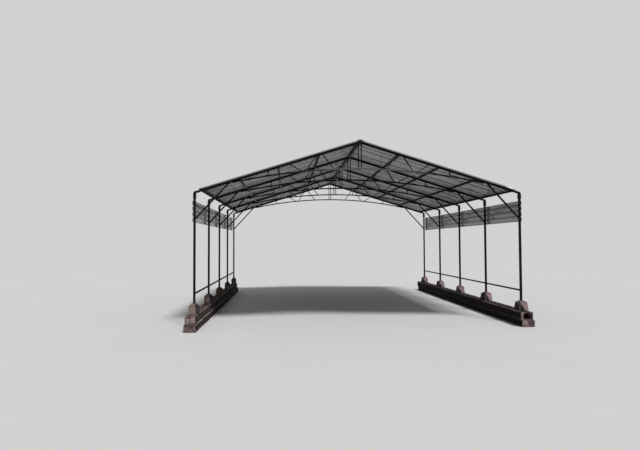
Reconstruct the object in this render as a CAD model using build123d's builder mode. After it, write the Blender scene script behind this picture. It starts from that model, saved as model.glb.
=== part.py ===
from build123d import *
import os
from math import atan2, cos, degrees, sin, sqrt

# Open carport: five gable frames of square tube on timber sills, roofed with ribbed sheet.
# X runs across the bay, Y along the ridge (the front is at -Y), Z up from the ground.
# The origin is on the ground, midway between the sides and the end frames. Sizes in millimetres.

# Plan of the frames
post_spacing = 5436
bay_length = 1524
frame_count = 5

# Tubes
frame_tube = 35
frame_corner = 4
chord_tube = 25
brace_tube = 25
purlin_tube = 25
rail_tube = 25
web_bar = 16

# Heights
sill_height = 243
left_lower_height = 125
right_lower_height = 112
block_height = 122
crown_heights = {"left": 52, "right": 35}
leg_length = 1817
ridge_rise = 843

# Sill timbers
left_lower_width = 202
right_lower_width = 211
left_upper_width = 164
right_upper_width = 202
timber_reach = 107
right_lower_inset = 14
left_upper_inset = 9
right_upper_inset = 42
timber_overhang = 290
left_lower_extra = 50
timber_edge = 9
rot_radius = 54
rot_depth = 260
rot_below_top = 74
rot_from_middle = 16

# Pier blocks, each turned a little on its sill by an angle in degrees
block_base_widths = {"left": 130, "right": 174}
block_top_widths = {"left": 130, "right": 142}
crown_width = 68
lug_width = 26
lug_root = 6
lug_rise = 13
block_turns = {"left": (-25, -20, -3, 4, 2), "right": (9, 20, -6, 5, -3)}

# Arched bottom chord, which ends under the rafters
chord_crown_drop = 447
chord_end_setback = 608
chord_end_drop = 22

# Bars between chord and rafters, as distances from the ridge line
king_offset = 25
inner_bar_head = 630
inner_bar_foot = 430
middle_bar_head = 730
middle_bar_foot = 900
outer_bar_head = 1180
outer_bar_foot = 965
strut_head = 1515
strut_foot = 1530

# Sleeves round the tops of the posts
sleeve_width = 45
sleeve_length = 90
sleeve_drop = 14

# Knee braces
brace_drop = 442
brace_reach = 568

# Purlins and rails
purlin_lines = (675, 1355, 2000)
eave_line_setback = 105
rail_rise = 172

# Ribbed sheet
sheet_thickness = 1.0
pan_width = 62
rib_top = 14
rib_side = 8
rib_depth = 18
roof_overhang = 40
eave_setback = 78
ridge_gap = 6
band_drop = 486
band_pans = 4

# Ridge cap
cap_leg = 60
cap_thickness = 1.2
cap_plate_width = 66
cap_plate_drop = 34
cap_plate_thickness = 2

# Worked out from the sizes above
half_spacing = post_spacing / 2
frame_rows = [bay_length * (i - (frame_count - 1) / 2) for i in range(frame_count)]
bay_rows = [(a + b) / 2 for a, b in zip(frame_rows, frame_rows[1:])]
frame_run = frame_rows[-1] - frame_rows[0]
roof_length = frame_run + frame_tube + 2 * roof_overhang
block_top_z = sill_height + block_height
foot_z = {side: block_top_z + crown for side, crown in crown_heights.items()}
lowest_foot_z = min(foot_z.values())
corner_z = lowest_foot_z + leg_length
apex_z = corner_z + ridge_rise
slope = atan2(ridge_rise, half_spacing)
slope_length = sqrt(half_spacing ** 2 + ridge_rise ** 2)
half_tube = frame_tube / 2
rib_foot = rib_top + 2 * rib_side
chord_reach = half_spacing - chord_end_setback
chord_crown_z = apex_z - chord_crown_drop
chord_end_z = apex_z - ridge_rise * chord_reach / half_spacing - chord_end_drop
chord_rise = chord_crown_z - chord_end_z
chord_radius = (chord_reach ** 2 + chord_rise ** 2) / (2 * chord_rise)
sides = {"left": -1, "right": 1}


def rafter_z(x):
    """Height of the rafter centre line at a distance x from the ridge line."""
    return apex_z - ridge_rise * abs(x) / half_spacing


def chord_z(x):
    """Height of the arched chord's centre line at a distance x from the ridge line."""
    return chord_crown_z - chord_radius + sqrt(chord_radius ** 2 - x ** 2)


def slope_plane(side, distance, height, y=0):
    """Plane square to one slope: distance down from the ridge, height above the rafter centre line.
    Its X runs along the ridge, its Y away from the roof, and its normal down the slope."""
    down = Vector(side * cos(slope), 0, -sin(slope))
    out = Vector(side * sin(slope), 0, cos(slope))
    origin = Vector(0, y, apex_z) + down * distance + out * height
    return Plane(origin=origin, x_dir=(0, side, 0), z_dir=down)


def mitre_plane(side):
    """Plane of the joint between a post and its rafter, with its normal towards the rafter."""
    normal = Vector(side * (sin(slope) - 1), 0, cos(slope))
    return Plane(origin=(side * half_spacing, 0, corner_z), z_dir=normal)


def cross_plane(y):
    """Upright plane across the carport at y, with its X across the bay and its Y up."""
    return Plane.XZ.offset(-y)


def save(part, name):
    """Label one finished piece and write it to its own file."""
    part.label = name
    export_step(part, f"parts/{name}.step")


# Sill timbers

def sill_timber(centre_x, width, bottom, height, end_extra=0):
    """One long sawn timber with worn edges, lying along Y."""
    length = frame_run + 2 * (timber_overhang + end_extra)
    with BuildPart() as timber:
        with BuildSketch(Plane.XY.offset(bottom)):
            with Locations((centre_x, 0)):
                Rectangle(width, length)
        extrude(amount=height)
        chamfer(timber.edges().filter_by(Axis.Y), timber_edge)
    return timber.part


def rotten_timber(centre_x, width, bottom, height):
    """The right-hand upper timber, hollowed by rot from its front end."""
    front = frame_rows[0] - timber_overhang
    mouth_x = centre_x + rot_from_middle
    mouth_z = bottom + height - rot_below_top
    with BuildPart() as timber:
        add(sill_timber(centre_x, width, bottom, height))
        for depth, radius in ((0, rot_radius), (rot_depth, rot_radius / 3)):
            with BuildSketch(cross_plane(front + depth)):
                with Locations((mouth_x, mouth_z)):
                    RegularPolygon(radius, 7)
        loft(mode=Mode.SUBTRACT)
    return timber.part


# Pier blocks

def pier_blocks(side_name):
    """The row of blocks on one sill, each with a low crown under its post and a lug at every corner."""
    base_width = block_base_widths[side_name]
    top_width = block_top_widths[side_name]
    crown_height = crown_heights[side_name]
    flare = degrees(atan2(base_width - top_width, 2 * block_height))
    crown_fall = degrees(atan2(top_width - crown_width, 2 * crown_height))
    lug_spacing = top_width - lug_width
    with BuildPart() as blocks:
        for y, turn in zip(frame_rows, block_turns[side_name]):
            place = Location((sides[side_name] * half_spacing, y, 0), (0, 0, turn))
            with BuildSketch(Plane.XY.offset(sill_height)):
                with Locations(place):
                    Rectangle(base_width, base_width)
            extrude(amount=block_height, taper=flare)
            with BuildSketch(Plane.XY.offset(block_top_z)):
                with Locations(place):
                    Rectangle(top_width, top_width)
            extrude(amount=crown_height, taper=crown_fall)
            with BuildSketch(Plane.XY.offset(block_top_z - lug_root)):
                with Locations(place):
                    with GridLocations(lug_spacing, lug_spacing, 2, 2):
                        Rectangle(lug_width, lug_width)
            extrude(amount=lug_root + lug_rise)
    return blocks.part


# Posts and rafters

def post(side, y, foot):
    """A square tube post with a sleeve near its top, cut to the mitre of its rafter."""
    with BuildPart() as upright:
        with BuildSketch(Plane.XY.offset(foot)):
            with Locations((side * half_spacing, y)):
                RectangleRounded(frame_tube, frame_tube, frame_corner)
        extrude(amount=corner_z - foot + frame_tube)
        with BuildSketch(Plane.XY.offset(corner_z - sleeve_drop - sleeve_length)):
            with Locations((side * half_spacing, y)):
                Rectangle(sleeve_width, sleeve_width)
        extrude(amount=sleeve_length)
        split(bisect_by=mitre_plane(side), keep=Keep.BOTTOM)
    return upright.part


def rafter(side, y):
    """A sloping square tube, cut plumb to meet its twin at the ridge and mitred to its post."""
    ridge_cut = Plane(origin=(0, y, apex_z), z_dir=(side, 0, 0))
    with BuildPart() as sloping:
        with BuildSketch(slope_plane(side, slope_length / 2, 0, y)):
            RectangleRounded(frame_tube, frame_tube, frame_corner)
        extrude(amount=slope_length / 2 + frame_tube, both=True)
        split(bisect_by=ridge_cut, keep=Keep.TOP)
        split(bisect_by=mitre_plane(side), keep=Keep.TOP)
    return sloping.part


# Trusses and braces

def truss(y):
    """Arched chord, king posts and slanting bars of one frame, welded into one lattice."""
    bars = (
        (king_offset, king_offset),
        (inner_bar_head, inner_bar_foot),
        (middle_bar_head, middle_bar_foot),
        (outer_bar_head, outer_bar_foot),
        (strut_head, strut_foot),
    )
    with BuildPart() as lattice:
        with BuildSketch(cross_plane(y)):
            with BuildLine():
                ThreePointArc(
                    (-chord_reach, chord_end_z),
                    (0, chord_crown_z),
                    (chord_reach, chord_end_z),
                )
            trace(line_width=chord_tube)
            with BuildLine():
                for head, foot in bars:
                    for side in sides.values():
                        Line((side * head, rafter_z(head)), (side * foot, chord_z(foot)))
            trace(line_width=web_bar)
            rafter_strips()
        extrude(amount=chord_tube / 2, both=True)
    return lattice.part


def rafter_strips():
    """Take the side view of both rafters out of the open sketch, so that bars end flush under them."""
    rise = half_tube / cos(slope)
    Polygon(
        (-half_spacing, corner_z - rise),
        (0, apex_z - rise),
        (half_spacing, corner_z - rise),
        (half_spacing, corner_z + rise),
        (0, apex_z + rise),
        (-half_spacing, corner_z + rise),
        align=None,
        mode=Mode.SUBTRACT,
    )


def knee_braces(side):
    """The row of corner braces on one side, each cut flush to its post and rafter."""
    with BuildPart() as braces:
        for y in frame_rows:
            with BuildSketch(cross_plane(y)):
                with BuildLine():
                    Line(
                        (side * half_spacing, corner_z - brace_drop),
                        (side * (half_spacing - brace_reach), rafter_z(half_spacing - brace_reach)),
                    )
                trace(line_width=brace_tube)
                rafter_strips()
                with Locations((side * half_spacing, corner_z - brace_drop)):
                    Rectangle(frame_tube, 2 * brace_drop, mode=Mode.SUBTRACT)
            extrude(amount=brace_tube / 2, both=True)
    return braces.part


# Purlins and rails

def purlin_row(side, lines):
    """Lines of purlin tubes on one slope, in lengths that fit between the rafters, tops flush with them."""
    rise = (frame_tube - purlin_tube) / 2
    with BuildPart() as purlins:
        for line in lines:
            distance = line / cos(slope)
            for y in bay_rows:
                plane = slope_plane(side, distance, rise, y)
                with BuildSketch(plane):
                    Rectangle(bay_length - frame_tube, purlin_tube)
                extrude(amount=purlin_tube / 2, both=True)
    return purlins.part


def ridge_purlin():
    """The ridge line of tubes, its upper corners in the planes of the two slopes."""
    top = apex_z + half_tube / cos(slope) - purlin_tube / 2 * ridge_rise / half_spacing
    with BuildPart() as ridge:
        for y in bay_rows:
            with BuildSketch(cross_plane(y)):
                with Locations((0, top - purlin_tube / 2)):
                    Rectangle(purlin_tube, purlin_tube)
            extrude(amount=(bay_length - frame_tube) / 2, both=True)
    return ridge.part


def low_rail(side):
    """The low rail of one side, in lengths that fit between the posts."""
    with BuildPart() as rail:
        for y in bay_rows:
            with BuildSketch(cross_plane(y)):
                with Locations((side * half_spacing, lowest_foot_z + rail_rise)):
                    Rectangle(rail_tube, rail_tube)
            extrude(amount=(bay_length - frame_tube) / 2, both=True)
    return rail.part


# Ribbed sheets

def ribbed_section(low_flat, high_flat, count):
    """Closed outline of a thin sheet with flats at two levels, between the feet of its end ribs.
    It starts at the origin and runs along the first axis."""
    lower = []
    for i in range(count):
        start = i * (low_flat + high_flat + 2 * rib_side)
        lower.append((start, 0))
        lower.append((start + rib_side, rib_depth))
        lower.append((start + rib_side + high_flat, rib_depth))
        lower.append((start + 2 * rib_side + high_flat, 0))
    upper = [(u, v + sheet_thickness) for u, v in reversed(lower)]
    return lower + upper


def roof_slope(side):
    """One slope of ribbed sheet, its pans on the rafters and its ribs running down the slope."""
    rib_count = round((roof_length + pan_width) / (pan_width + rib_foot))
    fitted_pan = (roof_length - rib_count * rib_foot) / (rib_count - 1)
    run = (half_spacing - eave_setback) / cos(slope) - ridge_gap
    outline = ribbed_section(fitted_pan, rib_top, rib_count)
    with BuildPart() as sheet:
        with BuildSketch(slope_plane(side, ridge_gap, half_tube)):
            with BuildLine():
                Polyline(*[(u - roof_length / 2, v) for u, v in outline], close=True)
            make_face()
        extrude(amount=run)
    return sheet.part


def ridge_cap():
    """A folded strip over the ridge, lying on the ribs of both slopes, with a small plate at each end."""
    seat = half_tube + rib_depth + sheet_thickness
    lower_peak = apex_z + seat / cos(slope)
    upper_peak = lower_peak + cap_thickness / cos(slope)
    reach = cap_leg * cos(slope)
    fall = cap_leg * sin(slope)
    half_plate = cap_plate_width / 2
    plate_shoulder = upper_peak - half_plate * sin(slope) / cos(slope)
    with BuildPart() as cap:
        with BuildSketch(Plane.XZ):
            with BuildLine():
                Polyline(
                    (-reach, lower_peak - fall),
                    (0, lower_peak),
                    (reach, lower_peak - fall),
                    (reach, upper_peak - fall),
                    (0, upper_peak),
                    (-reach, upper_peak - fall),
                    close=True,
                )
            make_face()
        extrude(amount=roof_length / 2, both=True)
        for end in (-1, 1):
            with BuildSketch(cross_plane(end * (roof_length + cap_plate_thickness) / 2)):
                with BuildLine():
                    Polyline(
                        (-half_plate, upper_peak - cap_plate_drop),
                        (half_plate, upper_peak - cap_plate_drop),
                        (half_plate, plate_shoulder),
                        (0, upper_peak),
                        (-half_plate, plate_shoulder),
                        close=True,
                    )
                make_face()
            extrude(amount=cap_plate_thickness / 2, both=True)
    return cap.part


def side_band(side):
    """The strip of ribbed sheet outside the posts of one side, laid lengthwise with its pans outwards."""
    bottom = corner_z - band_drop
    inner_x = half_spacing + half_tube
    outline = ribbed_section(rib_top, pan_width, band_pans)
    with BuildPart() as band:
        with BuildSketch(Plane.XZ):
            with BuildLine():
                Polyline(*[(side * (inner_x + v), bottom + u) for u, v in outline], close=True)
            make_face()
        extrude(amount=frame_run / 2, both=True)
    return band.part


os.makedirs("parts", exist_ok=True)

sill_outer_x = half_spacing + timber_reach
left_lower_x = left_lower_width / 2 - sill_outer_x
right_lower_x = sill_outer_x - right_lower_inset - right_lower_width / 2
left_upper_x = left_upper_inset + left_upper_width / 2 - sill_outer_x
right_upper_x = sill_outer_x - right_upper_inset - right_upper_width / 2
left_upper_height = sill_height - left_lower_height
right_upper_height = sill_height - right_lower_height

save(sill_timber(left_lower_x, left_lower_width, 0, left_lower_height, left_lower_extra),
     "base_timber_left_lower")
save(sill_timber(left_upper_x, left_upper_width, left_lower_height, left_upper_height),
     "base_timber_left_upper")
save(sill_timber(right_lower_x, right_lower_width, 0, right_lower_height), "base_timber_right_lower")
save(rotten_timber(right_upper_x, right_upper_width, right_lower_height, right_upper_height),
     "base_timber_right_upper")

for side_name, side in sides.items():
    save(pier_blocks(side_name), f"pier_blocks_{side_name}")
    save(knee_braces(side), f"knee_braces_{side_name}")
    save(low_rail(side), f"low_rail_{side_name}")
    save(side_band(side), f"side_band_{side_name}")
    save(purlin_row(side, purlin_lines), f"purlins_{side_name}")
    save(purlin_row(side, (half_spacing - eave_line_setback,)), f"eave_purlin_{side_name}")
    save(roof_slope(side), f"roof_{side_name}")
    for number, y in enumerate(frame_rows, start=1):
        save(post(side, y, foot_z[side_name]), f"post_{side_name}_{number}")
        save(rafter(side, y), f"rafter_{side_name}_{number}")

for number, y in enumerate(frame_rows, start=1):
    save(truss(y), f"truss_{number}")

save(ridge_purlin(), "ridge_purlin")
save(ridge_cap(), "ridge_cap")
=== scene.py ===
import math

import bpy
from mathutils import Matrix, Vector, noise


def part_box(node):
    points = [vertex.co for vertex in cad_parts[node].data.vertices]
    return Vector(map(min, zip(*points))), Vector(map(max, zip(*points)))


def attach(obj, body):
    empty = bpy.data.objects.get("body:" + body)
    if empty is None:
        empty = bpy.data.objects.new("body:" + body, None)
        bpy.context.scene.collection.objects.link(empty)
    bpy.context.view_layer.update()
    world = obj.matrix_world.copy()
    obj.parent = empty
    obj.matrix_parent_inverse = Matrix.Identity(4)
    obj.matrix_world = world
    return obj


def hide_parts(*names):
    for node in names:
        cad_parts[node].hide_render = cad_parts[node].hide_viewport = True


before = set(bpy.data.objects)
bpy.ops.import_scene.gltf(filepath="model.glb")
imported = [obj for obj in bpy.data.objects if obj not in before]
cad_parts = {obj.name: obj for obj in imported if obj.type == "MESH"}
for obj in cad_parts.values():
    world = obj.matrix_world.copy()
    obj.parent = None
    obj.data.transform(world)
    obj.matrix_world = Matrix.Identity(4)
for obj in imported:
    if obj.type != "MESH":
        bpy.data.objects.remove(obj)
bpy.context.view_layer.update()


# Sizes of the frame, in metres
HALF_SPACING = 2.718
BAY = 1.524
FRAME_ROWS = [BAY * (i - 2) for i in range(5)]
HALF_TUBE = 0.0175
SILL_TOP = 0.243
BLOCK_HEIGHT = 0.122
CROWN_HEIGHTS = {"left": 0.052, "right": 0.035}
CORNER_Z = 2.217
APEX_Z = 3.060
SLOPE = math.atan2(APEX_Z - CORNER_Z, HALF_SPACING)
PURLIN_LINES = [0.675, 1.355, 2.000, 2.613]
SIDES = {"left": -1, "right": 1}

# Ribbed sheet
RIB_TOP = 0.014
RIB_SIDE = 0.008
RIB_DEPTH = 0.0176
RIB_FOOT = RIB_TOP + 2 * RIB_SIDE
SHEET_BEND = 0.004
SHEET_SEAT = 0.0005
SHEET_THICKNESS = 0.0007
ROOF_LENGTH = 6.211
ROOF_RIBS = 68
ROOF_PAN = (ROOF_LENGTH - ROOF_RIBS * RIB_FOOT) / (ROOF_RIBS - 1)
ROOF_PITCH = ROOF_PAN + RIB_FOOT
RIDGE_GAP = 0.006
EAVE_SETBACK = 0.078
ROOF_RUN = (HALF_SPACING - EAVE_SETBACK) / math.cos(SLOPE) - RIDGE_GAP
BAND_PANS = 4
PAN_WIDTH = 0.062
BAND_BOTTOM = 1.731
BAND_LENGTH = 6.096

# Colours of the painted tubes, darkest first where there are two
BLACK_PAINT = (0.0032, 0.0035, 0.0034), (0.0070, 0.0074, 0.0072)
TUBE_DUST = (0.070, 0.066, 0.060)
BARE_STEEL = (0.11, 0.10, 0.095)
RUST = (0.13, 0.052, 0.025)
# Painted light on the ridge tube and on the front chord's crown
TUBE_PAINTED_LIGHT = (0.106, 0.104, 0.101)
# A painted glint on the outer purlins of the left slope
PURLIN_PAINTED_GLINT = (0.40, 0.39, 0.40)
RAIL_BLOOM = (0.085, 0.072, 0.058)

# Colours of the sheets, trim, screws and bolts
SHEET_STREAKS = (0.262, 0.260, 0.254), (0.308, 0.304, 0.296)
SHEET_PATCH = (0.208, 0.212, 0.204)
SPANGLE = (0.38, 0.39, 0.40)
# Dirty ribs with painted shade beside the laps and on the laps' lips, painted shade at the sheet ends
SHEET_DIRT_AND_SHADE = (0.012, 0.012, 0.012)
SHEET_FRECKLE = (0.16, 0.115, 0.085)
# Painted shade: the sheets get darker towards the back
SHEET_BACK_SHADE = (0.080, 0.079, 0.076)
BAND_SHADE = (0.055, 0.066, 0.086)
# A painted glint
SHEET_PAINTED_GLINT = (0.80, 0.80, 0.79)
DARK_TRIM = (0.010, 0.010, 0.011), (0.026, 0.026, 0.028)
TRIM_DUST = (0.080, 0.077, 0.072)
TRIM_EDGE = (0.07, 0.07, 0.07)
CLEAN_ZINC = (0.30, 0.30, 0.31), (0.58, 0.58, 0.60)
DULL_ZINC = (0.09, 0.085, 0.085), (0.17, 0.155, 0.155)

# Colours of the timber
# Painted light: a shaded and a sunlit copy of the timber's colour
SHADED_WOOD = (0.010, 0.007, 0.011), (0.036, 0.026, 0.030)
SUNLIT_WOOD = (0.045, 0.031, 0.029), (0.150, 0.106, 0.100)
WOOD_DUST = (0.085, 0.063, 0.062)
WOOD_SHADE = (0.008, 0.006, 0.010)
# Worn edges, and a painted sunlit line along the upper inner edges at the front
WORN_AND_SUNLIT_WOOD = (0.205, 0.165, 0.190), (0.34, 0.305, 0.275)
WOOD_BLOTCH = (0.020, 0.014, 0.016)
END_WOOD = (0.090, 0.060, 0.066), (0.180, 0.124, 0.135)
# Pale end wood, partly painted sunlight on the front ends
SUNLIT_PALE_WOOD = (0.30, 0.24, 0.225), (0.44, 0.36, 0.335)
WOOD_CRACK = (0.008, 0.007, 0.007)
ROTTEN_WOOD = (0.034, 0.019, 0.022)

# Colours of the concrete
DARK_CONCRETE = (0.042, 0.030, 0.028), (0.085, 0.062, 0.055)
# Painted sunlight: the pale colours of the blocks' fronts, with their run stains
TAN_CONCRETE = (0.165, 0.124, 0.106), (0.33, 0.255, 0.220)
PINK_CONCRETE = (0.150, 0.098, 0.106), (0.30, 0.205, 0.215)
CONCRETE_SHADE = (0.030, 0.021, 0.027)
# Painted roof shadow on the left blocks further back
CONCRETE_ROOF_SHADOW = (0.012, 0.010, 0.008)
# Worn edges, and a painted patch of sunlight on one block's front
WORN_AND_SUNLIT_CONCRETE = (0.30, 0.25, 0.235), (0.40, 0.35, 0.355)
# Painted shade in the recesses, on the block tops and on the lugs
BLOCK_PAINTED_SHADE = (0.012, 0.009, 0.010)
PIT_DIRT = (0.02, 0.017, 0.016)

# Colours of the surroundings
BACKDROP = (0.63, 0.64, 0.65)
SHOWN_FLOOR = (0.545, 0.545, 0.54), (0.585, 0.585, 0.58)
LIT_FLOOR = (0.60, 0.59, 0.575)
WHITE = (1, 1, 1)


# Materials

class Value:
    """An output of a node, which can be calculated with."""

    def __init__(self, nodes, socket):
        self.nodes, self.socket = nodes, socket

    def math(self, operation, other=0.0):
        return self.nodes.value("Math", {0: self, 1: other}, 0, operation)

    def __mul__(self, other):
        return self.math("MULTIPLY", other)

    def __add__(self, other):
        return self.math("ADD", other)

    def __sub__(self, other):
        return self.math("SUBTRACT", other)

    def __abs__(self):
        return self.math("ABSOLUTE")

    def larger(self, other):
        return self.math("MAXIMUM", other)

    def span(self, low, high, to_low=0.0, to_high=1.0):
        """Map from one range to another, held at its ends."""
        inputs = {"Value": self, "From Min": low, "From Max": high, "To Min": to_low, "To Max": to_high}
        return self.nodes.value("MapRange", inputs, "Result")


class Nodes:
    """A cleared node tree."""

    def __init__(self, owner):
        owner.use_nodes = True
        self.tree = owner.node_tree
        self.tree.nodes.clear()

    def put(self, socket, value):
        """Link or set one socket."""
        if isinstance(value, Value):
            self.tree.links.new(value.socket, socket)
        else:
            socket.default_value = (*value, 1.0) if socket.type == "RGBA" else value

    def add(self, kind, inputs, operation=None):
        """A new node with its inputs linked or set, by name or number."""
        node = self.tree.nodes.new("ShaderNode" + kind)
        if operation:
            node.operation = operation
        for key, value in inputs.items():
            self.put(node.inputs[key], value)
        return node

    def value(self, kind, inputs, output=0, operation=None):
        """An output of a new node."""
        return Value(self, self.add(kind, inputs, operation).outputs[output])

    def ray(self, kind):
        """1 for light rays of one kind and 0 for others."""
        return self.value("LightPath", {}, f"Is {kind} Ray")


class Finish(Nodes):
    """A material with its shader, and the colour that it has so far."""

    def __init__(self, name):
        self.material = bpy.data.materials.new(name)
        super().__init__(self.material)
        self.shader = self.add("BsdfPrincipled", {})
        self.shaded = Value(self, self.shader.outputs["BSDF"])
        self.output = self.add("OutputMaterial", {"Surface": self.shaded})
        self.place = self.value("TexCoord", {}, "Object")
        self.colour = None

    def blend(self, share, a, b):
        """Mix two colours."""
        node = self.add("Mix", {})
        node.data_type = "RGBA"
        for index, value in ((0, share), (6, a), (7, b)):
            self.put(node.inputs[index], value)
        return Value(self, node.outputs[2])

    def cover(self, share, colour):
        """Lay a colour over the colour so far."""
        self.colour = self.blend(share, self.colour, colour)

    def surface(self, roughness, specular, metallic=0.0):
        """Give the shader the colour so far and its other main inputs."""
        self.put(self.shader.inputs["Base Color"], self.colour)
        self.put(self.shader.inputs["Roughness"], roughness)
        self.shader.inputs["Specular IOR Level"].default_value = specular
        self.shader.inputs["Metallic"].default_value = metallic

    def bump(self, height, depth, strength):
        """Small relief, as deep as depth where the height changes by 1."""
        relief = self.value("Bump", {"Height": height, "Distance": depth, "Strength": strength})
        self.put(self.shader.inputs["Normal"], relief)

    def noise(self, scale, detail=4.0, roughness=0.55, distortion=0.0, at=None):
        inputs = {"Vector": self.place if at is None else at, "Scale": scale, "Detail": detail,
                  "Roughness": roughness, "Distortion": distortion}
        return self.value("TexNoise", inputs, "Fac")

    def grain(self, stretch, detail, roughness, distortion=0.0):
        """Noise with a scale of its own along each axis."""
        at = self.value("Mapping", {"Vector": self.place, "Scale": stretch})
        return self.noise(1.0, detail, roughness, distortion, at)

    def cells(self, scale):
        """Distance from the nearest of scattered points."""
        return self.value("TexVoronoi", {"Vector": self.place, "Scale": scale}, "Distance")

    def at(self, axis):
        """The place along one axis."""
        return self.value("SeparateXYZ", {0: self.place}, axis)

    def normal(self):
        return self.value("NewGeometry", {}, "Normal")

    def facing(self, axis):
        """How far the surface faces along one axis, from -1 to 1."""
        return self.value("SeparateXYZ", {0: self.normal()}, axis)

    def facing_bay(self):
        """Near 1 on upright faces that look in towards the bay."""
        return (self.facing("X") * self.at("X").span(-0.5, 0.5, 1.0, -1.0)).span(0.45, 0.85)

    def edges(self, radius):
        """Near 1 along sharp edges and 0 on flats."""
        bevel = self.add("Bevel", {"Radius": radius})
        bevel.samples = 4
        rounded = Value(self, bevel.outputs["Normal"])
        dot = self.value("VectorMath", {0: rounded, 1: self.normal()}, "Value", "DOT_PRODUCT")
        return dot.span(0.97, 0.80)

    def share(self, name):
        """A point attribute of the mesh."""
        node = self.add("Attribute", {})
        node.attribute_name = name
        return Value(self, node.outputs["Fac"])


def tube_material(name, dust_and_light=None, dust_and_light_colour=TUBE_PAINTED_LIGHT):
    """Satin black paint with dust on top, chips along the edges and rust near the feet. The optional
    mask gives the share of a paler colour at each place: dust on the left rail, painted light on the
    ridge, the outer left purlins and the front chord."""
    look = Finish(name)
    cloud = look.noise(3.5, 3)
    grime = look.noise(60, 5, 0.6)
    look.colour = look.blend(cloud, *BLACK_PAINT)
    look.cover(look.facing("Z").span(0.55, 0.95) * grime.span(0.35, 0.75, 0.03, 0.40), TUBE_DUST)
    if dust_and_light:
        # A paler colour: dust on the left rail, painted light on the other tubes
        look.cover(dust_and_light(look) * cloud.span(0.3, 0.6, 0.65, 1.0), dust_and_light_colour)
    look.cover(look.edges(0.003) * grime.span(0.56, 0.64), BARE_STEEL)
    rust = look.at("Z").span(0.62, 0.42) * look.noise(140, 6, 0.65).span(0.55, 0.68)
    look.cover(rust, RUST)
    look.surface(grime.span(0.3, 0.7, 0.50, 0.68) + rust * 0.25, 0.08)
    look.bump(look.noise(420, 3), 0.0004, 0.5)
    return look.material


def painted_light_ridge(look):
    """Painted light on the ridge line: its underside everywhere, and all of it behind the first bay."""
    return look.facing("Z").span(-0.5, -0.9).larger(look.at("Y").span(-1.7, -1.3))


def painted_glint_left_purlins(look):
    """A painted glint on the outer purlin lines of the left slope: more towards the back, and sooner further
    out.
    """
    outer = look.at("X").span(-0.9, -1.1)
    start = look.at("Y") + look.at("X").span(-1.3, -1.9) * 1.1
    return outer * start.span(-1.2, 0.9)


def painted_sun_front_chord(look):
    """Painted sunlight on the crown of the front frame's arched chord."""
    from_crown = abs(look.at("X") - 0.12)
    return look.at("Z").span(2.655, 2.640) * from_crown.span(1.15, 0.55, 0.0, 0.9)


def faded_left_rail(look):
    """The left low rail, more and more dusty from the first bay to the third."""
    return look.at("Y").span(-2.2, 1.2)


def sheet_material():
    """Dull galvanised sheet with run-off streaks and faint spangle. Beside the laps its ribs are dirty
    and carry painted shade, its ends carry painted shade, it gets darker towards the back with painted
    shade, and one corner has a painted glint. The side bands get painted shade and reflection, darker
    and bluer, on the upper part of their bay side."""
    look = Finish("roof_sheet")
    streaks = look.grain((0.6, 9.0, 0.6), 5, 0.6)
    look.colour = look.blend(streaks.span(0.3, 0.7), *SHEET_STREAKS)
    look.cover(look.noise(1.3, 4).span(0.4, 0.75, 0.0, 0.40), SHEET_PATCH)
    look.cover(look.cells(95).span(0.0, 0.9, 0.0, 0.12), SPANGLE)
    # A share that is dirty ribs with painted shade by the laps, and painted shade at the sheet ends
    grime = look.share("grime")
    look.cover(grime, SHEET_DIRT_AND_SHADE)
    look.cover(look.noise(55, 6, 0.7).span(0.68, 0.76, 0.0, 0.35), SHEET_FRECKLE)
    # Painted shade, darker towards the back
    look.cover(look.at("Y").span(-2.0, 2.6, 0.0, 0.42), SHEET_BACK_SHADE)
    # Painted shade and reflection on the upper bay side of the side bands
    shade = look.share("band") * look.at("X").span(0.5, -0.5, 0.42, 1.0)
    shade = shade * look.at("Z").span(1.81, 1.91, 0.0, 0.88) * look.facing_bay()
    look.cover(shade, BAND_SHADE)
    # A painted glint at the right slope's outer front corner
    look.cover(look.share("bright"), SHEET_PAINTED_GLINT)
    dullness = streaks.span(0.3, 0.7, 0.14, 0.24) + look.facing("Z").span(0.45, 0.75, 0.0, 0.34)
    look.surface(dullness + grime * 0.5, 0.35, metallic=0.35)
    look.bump(look.noise(18, 3), 0.0005, 0.25)
    return look.material


def trim_material():
    """Dark folded sheet, dusty on top."""
    look = Finish("ridge_trim")
    cloud = look.noise(14, 5, 0.6)
    look.colour = look.blend(cloud, *DARK_TRIM)
    look.cover(look.facing("Z").span(0.5, 0.95, 0.0, 0.4) * cloud, TRIM_DUST)
    look.cover(look.edges(0.002).span(0, 1, 0.0, 0.5), TRIM_EDGE)
    look.surface(cloud.span(0.3, 0.7, 0.42, 0.62), 0.35)
    look.bump(look.noise(30, 3), 0.0006, 0.4)
    return look.material


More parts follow.
